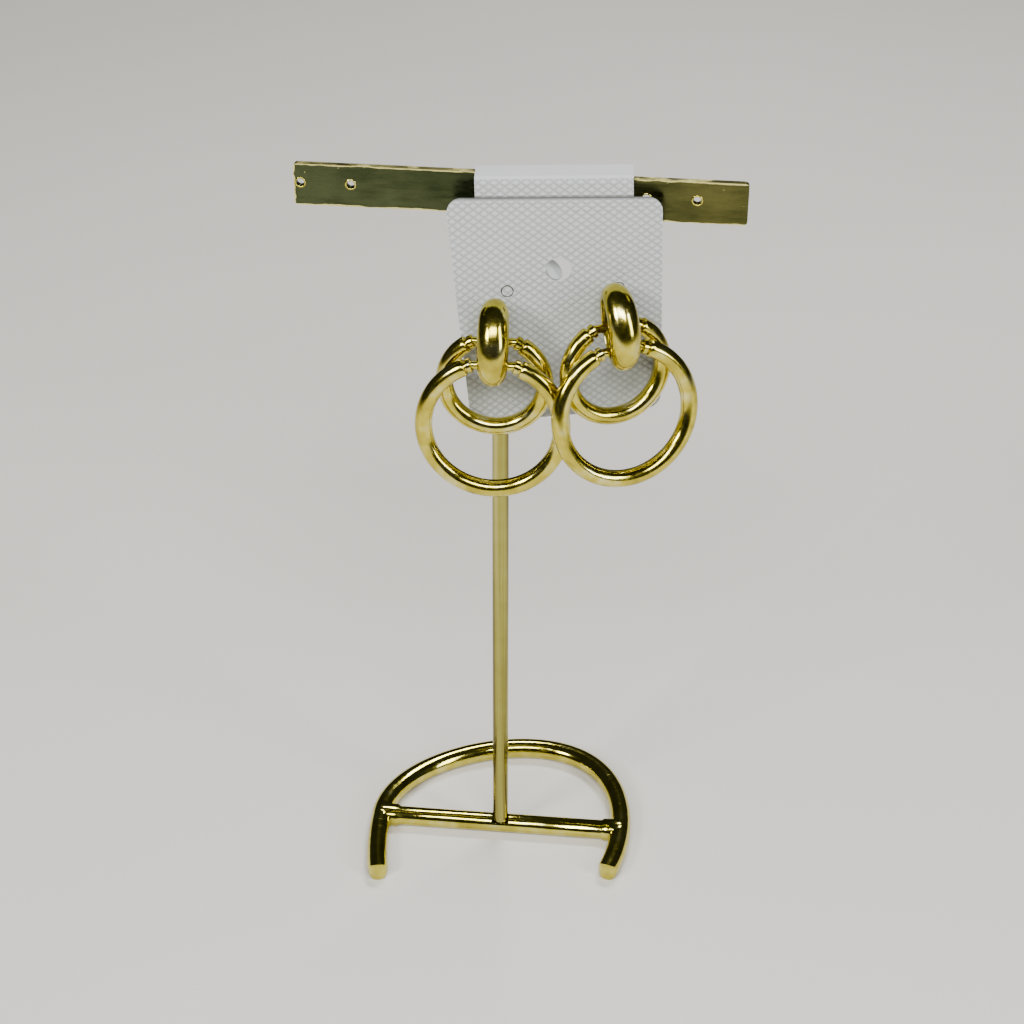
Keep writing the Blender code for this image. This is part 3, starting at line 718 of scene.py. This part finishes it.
def ring_piece(name, size, lean, earring):
    """A round ring with a turned neck, collars and grooves."""
    radius = size["radius"]
    start = math.asin(NECK_HALF / radius)
    drop = radius * math.cos(start)
    first = TURNED_END[-1]["run"] / radius
    body = [first + (math.pi - start - first) * i / RING_STEPS for i in range(1, RING_STEPS)]
    right = [(start + row["run"] / radius, row["radius"]) for row in TURNED_END]
    right += [(start + angle, TUBE_RADIUS) for angle in body]
    left = [(2 * math.pi - angle, width) for angle, width in reversed(right)]
    whole = right + [(math.pi, TUBE_RADIUS)] + left
    points = [Vector((radius * math.sin(a), 0.0, radius * math.cos(a) - drop)) for a, _ in whole]
    ring = rod(name, points, [width for _, width in whole], cyclic=True)
    outer, outward, _, depth = hoop_section(size["seat"])
    forward, up = hoop_point(*(outer - outward * (depth + size["gap"] + NECK_RADIUS)))
    seat = Matrix.Translation((0.0, -forward, up))
    ring.matrix_world = earring @ seat @ Matrix.Rotation(-lean, 4, "X")
    smooth(ring, RING_SMOOTH)
    return ring


def burr_piece(name, place):
    """The bright raised edge round one of the bar's punched holes."""
    bpy.ops.mesh.primitive_torus_add(
        major_radius=BAR_HOLE_RADIUS + BURR_RADIUS,
        minor_radius=BURR_RADIUS,
        major_segments=BURR_STEPS["round"],
        minor_segments=BURR_STEPS["section"],
    )
    burr = bpy.context.object
    burr.name = name
    burr.matrix_world = Matrix.Translation(place) @ Matrix.Rotation(math.pi / 2, 4, "X")
    burr.data.shade_smooth()
    return burr


class Nodes:
    """A short way to lay out a material's nodes."""

    def __init__(self, name):
        self.material = bpy.data.materials.new(name)
        self.material.use_nodes = True
        self.tree = self.material.node_tree
        self.shader = self.tree.nodes["Principled BSDF"]

    def link(self, source, target):
        """Join an output, or set a plain value, on an input."""
        if isinstance(source, bpy.types.NodeSocket):
            self.tree.links.new(source, target)
        else:
            target.default_value = source

    def math(self, operation, first, second=None):
        """A Math node's output."""
        node = self.tree.nodes.new("ShaderNodeMath")
        node.operation = operation
        for socket, value in zip(node.inputs, (first, second)):
            if value is not None:
                self.link(value, socket)
        return node.outputs[0]

    def noise(self, vector, scale, detail, stretch=None):
        """A Noise node's value."""
        if stretch:
            mapping = self.tree.nodes.new("ShaderNodeMapping")
            mapping.inputs["Scale"].default_value = stretch
            self.link(vector, mapping.inputs["Vector"])
            vector = mapping.outputs[0]
        node = self.tree.nodes.new("ShaderNodeTexNoise")
        node.inputs["Scale"].default_value = scale
        node.inputs["Detail"].default_value = detail
        self.link(vector, node.inputs["Vector"])
        return node.outputs["Fac"]

    def ramp(self, value, stops):
        """A colour ramp's output."""
        node = self.tree.nodes.new("ShaderNodeValToRGB")
        elements = node.color_ramp.elements
        while len(elements) < len(stops):
            elements.new(0.5)
        for element, (position, colour) in zip(elements, stops):
            element.position = position
            element.color = colour
        self.link(value, node.inputs[0])
        return node.outputs[0]

    def mix(self, share, first, second):
        """Two colours mixed by a share."""
        node = self.tree.nodes.new("ShaderNodeMix")
        node.data_type = "RGBA"
        self.link(share, node.inputs[0])
        self.link(first, node.inputs[6])
        self.link(second, node.inputs[7])
        return node.outputs[2]

    def place(self):
        """The object's own coordinates."""
        return self.tree.nodes.new("ShaderNodeTexCoord").outputs["Object"]

    def bump(self, height, distance, strength, normal=None):
        """A Bump node's normal."""
        node = self.tree.nodes.new("ShaderNodeBump")
        node.inputs["Strength"].default_value = strength
        node.inputs["Distance"].default_value = distance
        self.link(height, node.inputs["Height"])
        if normal is not None:
            self.link(normal, node.inputs["Normal"])
        return node.outputs[0]


def grey(value):
    """An opaque grey."""
    return (value, value, value, 1.0)


def gold_material(name, colours, rough, scratch, reflection_streaks=0.0):
    """Polished plating with cloudy wear, fine scratches, a slight ripple and, where given, vertical
    streaks of painted reflection.
    """
    nodes = Nodes(name)
    shader = nodes.shader
    shader.inputs["Metallic"].default_value = 1.0
    place = nodes.place()
    cloud = nodes.noise(place, **GOLD_NOISE["cloud"])
    # Vertical streaks of painted reflection, mixed into the tone
    if reflection_streaks:
        streak = nodes.noise(place, **GOLD_NOISE["reflection_streaks"])
        cloud = nodes.math("MULTIPLY", cloud, 1.0 - reflection_streaks)
        cloud = nodes.math("ADD", cloud, nodes.math("MULTIPLY", streak, reflection_streaks))
    paint = nodes.ramp(cloud, [(spot, colours[tone]) for tone, spot in GOLD_STOPS.items()])
    nodes.link(paint, shader.inputs["Base Color"])
    fine = nodes.noise(place, **GOLD_NOISE["fine"])
    lines = nodes.noise(place, **GOLD_NOISE["lines"])
    wear = nodes.math("MULTIPLY", nodes.math("GREATER_THAN", lines, GOLD_SCRATCH_LIMIT), scratch)
    blend = nodes.math("ADD", nodes.math("MULTIPLY", fine, rough[1] - rough[0]), rough[0])
    nodes.link(nodes.math("ADD", blend, wear), shader.inputs["Roughness"])
    ripple = nodes.bump(nodes.noise(place, **GOLD_NOISE["ripple"]), **GOLD_RELIEF["ripple"])
    dents = nodes.noise(place, **GOLD_NOISE["dents"])
    dents = nodes.bump(dents, **GOLD_RELIEF["dents"], normal=ripple)
    normal = nodes.bump(fine, **GOLD_RELIEF["fine"], normal=dents)
    nodes.link(normal, shader.inputs["Normal"])
    return nodes.material


def bar_material(bar):
    """The scuffed bar: dark olive plating, warmer to the right, with a painted highlight along its
    top, bottom and left edges and pale specks of wear.
    """
    nodes = Nodes("bar_plating")
    shader = nodes.shader
    shader.inputs["Metallic"].default_value = 1.0
    place = nodes.place()
    corners = [Vector(corner) for corner in bar.bound_box]
    low = Vector([min(corner[i] for corner in corners) for i in range(3)])
    high = Vector([max(corner[i] for corner in corners) for i in range(3)])
    split = nodes.tree.nodes.new("ShaderNodeSeparateXYZ")
    nodes.link(place, split.inputs[0])
    cloud = nodes.noise(place, **BAR_NOISE["cloud"])
    scuff = nodes.noise(place, **BAR_NOISE["scuff"])
    streak = nodes.noise(place, **BAR_NOISE["streak"])
    clouded = nodes.math("MULTIPLY", cloud, BAR_TONE["cloud"])
    tone = nodes.math("ADD", clouded, nodes.math("MULTIPLY", scuff, BAR_TONE["scuff"]))
    green = nodes.ramp(tone, [(spot, BAR_GREEN[key]) for key, spot in BAR_STOPS.items()])
    olive = nodes.ramp(tone, [(spot, BAR_OLIVE[key]) for key, spot in BAR_STOPS.items()])
    run = nodes.math("DIVIDE", nodes.math("SUBTRACT", split.outputs[0], low.x), high.x - low.x)
    side = nodes.ramp(run, [(spot, grey(value)) for spot, value in BAR_WARMING])
    body = nodes.mix(side, green, olive)
    # Painted highlight: a pale band along the bar's top, bottom and left edges
    above = nodes.math("SUBTRACT", high.z, split.outputs[2])
    below = nodes.math("SUBTRACT", split.outputs[2], low.z)
    ends = nodes.math("MINIMUM", nodes.math("SUBTRACT", split.outputs[0], low.x), below)
    away = nodes.math("MINIMUM", above, ends)
    ragged = nodes.math("MULTIPLY", nodes.math("SUBTRACT", scuff, 0.5), BAR_EDGE_RAGGED)
    edge = nodes.math("LESS_THAN", nodes.math("ADD", away, ragged), BAR_EDGE_WIDTH)
    speck = nodes.noise(place, **BAR_NOISE["speck"])
    speck = nodes.math("GREATER_THAN", speck, BAR_SPECK["limit"])
    # The pale colour goes on the painted highlight band and on the worn specks
    palest = nodes.math("MAXIMUM", edge, nodes.math("MULTIPLY", speck, BAR_SPECK["share"]))
    bright = nodes.tree.nodes.new("ShaderNodeRGB")
    bright.outputs[0].default_value = BAR_HIGHLIGHT_AND_RUB
    nodes.link(nodes.mix(palest, body, bright.outputs[0]), shader.inputs["Base Color"])
    worst = nodes.math("MAXIMUM", scuff, streak)
    rough = nodes.ramp(worst, [(spot, grey(value)) for spot, value in BAR_ROUGHNESS])
    nodes.link(rough, shader.inputs["Roughness"])
    dents = nodes.bump(nodes.noise(place, **BAR_NOISE["dents"]), **BAR_RELIEF["dents"])
    nodes.link(nodes.bump(scuff, **BAR_RELIEF["scuff"], normal=dents), shader.inputs["Normal"])
    return nodes.material


def card_material():
    """White card skin: rounding on the embossed diamonds, the crease and the circular score lines,
    with painted shade in the diamonds' valleys, the crease and the score lines.
    """
    nodes = Nodes("embossed_card")
    shader = nodes.shader
    attribute = nodes.tree.nodes.new("ShaderNodeAttribute")
    attribute.attribute_name = "flat"
    split = nodes.tree.nodes.new("ShaderNodeSeparateXYZ")
    nodes.link(attribute.outputs["Vector"], split.inputs[0])
    x, y = split.outputs[0], split.outputs[1]
    across = nodes.math("MULTIPLY", x, math.pi / EMBOSS_WIDTH)
    climb = nodes.math("MULTIPLY", y, math.pi / EMBOSS_HEIGHT)
    first = nodes.math("ABSOLUTE", nodes.math("SINE", nodes.math("ADD", across, climb)))
    second = nodes.math("ABSOLUTE", nodes.math("SINE", nodes.math("SUBTRACT", across, climb)))
    pillow = nodes.math("POWER", nodes.math("MULTIPLY", first, second), PILLOW_POWER)
    body = nodes.math("LESS_THAN", y, EMBOSS_TOP)
    smooth_part = nodes.math("SUBTRACT", 1.0, body)
    height = nodes.math("MAXIMUM", nodes.math("MULTIPLY", pillow, body), smooth_part)
    near = nodes.math("DIVIDE", nodes.math("ABSOLUTE", y), CREASE_HALF_WIDTH)
    crease = nodes.math("MAXIMUM", nodes.math("SUBTRACT", 1.0, near), 0.0)
    height = nodes.math("MULTIPLY", height, nodes.math("SUBTRACT", 1.0, crease))
    height = nodes.math("SUBTRACT", height, nodes.math("MULTIPLY", crease, CARD_SINK["crease"]))
    score = None
    for spot in SCORED_CIRCLES:
        dx = nodes.math("SUBTRACT", x, spot[0])
        dy = nodes.math("SUBTRACT", y, spot[1])
        squares = nodes.math("ADD", nodes.math("MULTIPLY", dx, dx), nodes.math("MULTIPLY", dy, dy))
        away = nodes.math("SUBTRACT", nodes.math("SQRT", squares), SCORED_RADIUS)
        groove = nodes.math("LESS_THAN", nodes.math("ABSOLUTE", away), SCORED_HALF_LINE)
        score = groove if score is None else nodes.math("MAXIMUM", score, groove)
    sunk = nodes.math("MULTIPLY", score, CARD_SINK["score"])
    height = nodes.math("SUBTRACT", height, sunk)
    cloud = nodes.noise(nodes.place(), **CARD_NOISE["cloud"])
    # Painted shade: darker in the embossing's valleys and deepest in the crease
    valley = nodes.math("SUBTRACT", 1.0, height)
    valley = nodes.math("MULTIPLY", valley, CARD_SHADE["valley"])
    cloudy = nodes.math("MULTIPLY", cloud, CARD_SHADE["cloud"])
    tone = nodes.math("ADD", nodes.math("SUBTRACT", CARD_TONE, valley), cloudy)
    # Painted shade along the scored circles
    scored = nodes.math("MULTIPLY", score, CARD_SHADE["score"])
    tone = nodes.math("SUBTRACT", tone, scored)
    paint = nodes.ramp(tone, [(0.0, grey(0.0)), (1.0, CARD_WHITE)])
    nodes.link(paint, shader.inputs["Base Color"])
    grain = nodes.noise(nodes.place(), **CARD_NOISE["grain"])
    rough = nodes.ramp(grain, [(spot, grey(value)) for spot, value in CARD_ROUGHNESS])
    nodes.link(rough, shader.inputs["Roughness"])
    shader.inputs["Specular IOR Level"].default_value = CARD_SPECULAR
    marks = nodes.bump(height, **CARD_RELIEF["marks"])
    normal = nodes.bump(grain, **CARD_RELIEF["grain"], normal=marks)
    nodes.link(normal, shader.inputs["Normal"])
    return nodes.material


def floor_material():
    """A plain pale surface."""
    nodes = Nodes("pale_floor")
    cloud = nodes.noise(nodes.place(), **FLOOR_NOISE)
    nodes.link(nodes.ramp(cloud, FLOOR_STOPS), nodes.shader.inputs["Base Color"])
    nodes.shader.inputs["Roughness"].default_value = FLOOR_ROUGHNESS
    return nodes.material


def area_light(name, place, size, power, colour):
    """A soft rectangular light that faces the middle of the object."""
    light = bpy.data.lights.new(name, "AREA")
    light.shape = "RECTANGLE"
    light.size, light.size_y = size
    light.energy = power
    light.color = colour
    lamp = link(name, light)
    lamp.location = place
    facing = Vector(LIGHT_TARGET) - Vector(place)
    lamp.rotation_euler = facing.to_track_quat("-Z", "Y").to_euler()


def build_object():
    """Every piece of the object."""
    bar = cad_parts["stand_bar"]
    stand_gold = gold_material("stand_gold", STAND_COLOURS, **STAND_FINISH)
    ring_gold = gold_material("earring_gold", RING_COLOURS, **RING_FINISH)
    # The pole's gold carries painted shade and painted reflection streaks
    pole_shaded_gold = gold_material("pole_shaded_gold", POLE_SHADED_COLOURS, **POLE_FINISH)
    plating = bar_material(bar)
    white = card_material()
    finish_piece(base_piece(), "stand_base", "display", stand_gold)
    finish_piece(pole_piece(), "stand_pole", "display", pole_shaded_gold)
    finish_piece(card_piece(), "earring_card", "display", white)
    finish_piece(disc_piece(), None, "display", white)
    for i, offset in enumerate(BAR_HOLES):
        place = (offset, -BAR_THICKNESS / 2, BAR_CENTRE_HEIGHT + BAR_HOLE_RISE)
        finish_piece(burr_piece(f"bar_burr_{i}", place), None, "display", stand_gold)
    for side, row in EARRINGS.items():
        across, up = row["place"]
        axes = card_frame(-up).to_3x3() @ Matrix.Rotation(-math.pi / 2, 3, "X")
        facing = Matrix.Rotation(math.atan2(axes.col[0].y, axes.col[0].x) + row["splay"], 3, "Z")
        earring = Matrix.Translation(place_on_card(across, up, 0.0)) @ facing.to_4x4()
        hoop = hoop_piece(f"{side}_puffed_hoop", earring, facing.transposed() @ axes)
        finish_piece(hoop, f"{side}_hoop", "display", ring_gold)
        for size, values in RINGS.items():
            lean = row[f"{size}_lean"]
            ring = ring_piece(f"{side}_{size}_round_ring", values, lean, earring)
            finish_piece(ring, f"{side}_{size}_ring", f"{side}_{size}", ring_gold)
        dress(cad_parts[f"{side}_ear_nut"], ring_gold)
    dress(bar, plating)


def build_stage():
    """Floor, soft lights and the camera."""
    bpy.ops.mesh.primitive_plane_add(size=FLOOR_SIZE, location=(0, 0, FLOOR_HEIGHT))
    floor = bpy.context.object
    floor.name = "floor"
    floor.data.materials.append(floor_material())
    world = bpy.data.worlds.new("studio")
    bpy.context.scene.world = world
    world.use_nodes = True
    background = world.node_tree.nodes["Background"]
    background.inputs["Color"].default_value = WORLD_COLOUR
    background.inputs["Strength"].default_value = WORLD_STRENGTH
    for name, values in LIGHTS.items():
        area_light(name, **values)
    aim = Vector((0, 0, CAMERA_AIM_HEIGHT)) + SHIFT
    level = Vector((math.sin(CAMERA_AZIMUTH), -math.cos(CAMERA_AZIMUTH), 0.0)) * math.cos(CAMERA_PITCH)
    away = level + Vector((0.0, 0.0, math.sin(CAMERA_PITCH)))
    camera = bpy.data.cameras.new("camera")
    camera.sensor_width = SENSOR_WIDTH
    camera.lens = SENSOR_WIDTH * FOCAL_PIXELS / PICTURE_WIDTH
    camera.shift_x = SHIFT_PIXELS / PICTURE_WIDTH
    camera.clip_start = CAMERA_NEAR
    view = link("camera", camera)
    view.location = aim + away * CAMERA_DISTANCE
    view.rotation_euler = (-away).to_track_quat("-Z", "Y").to_euler()
    bpy.context.scene.camera = view


build_object()
build_stage()
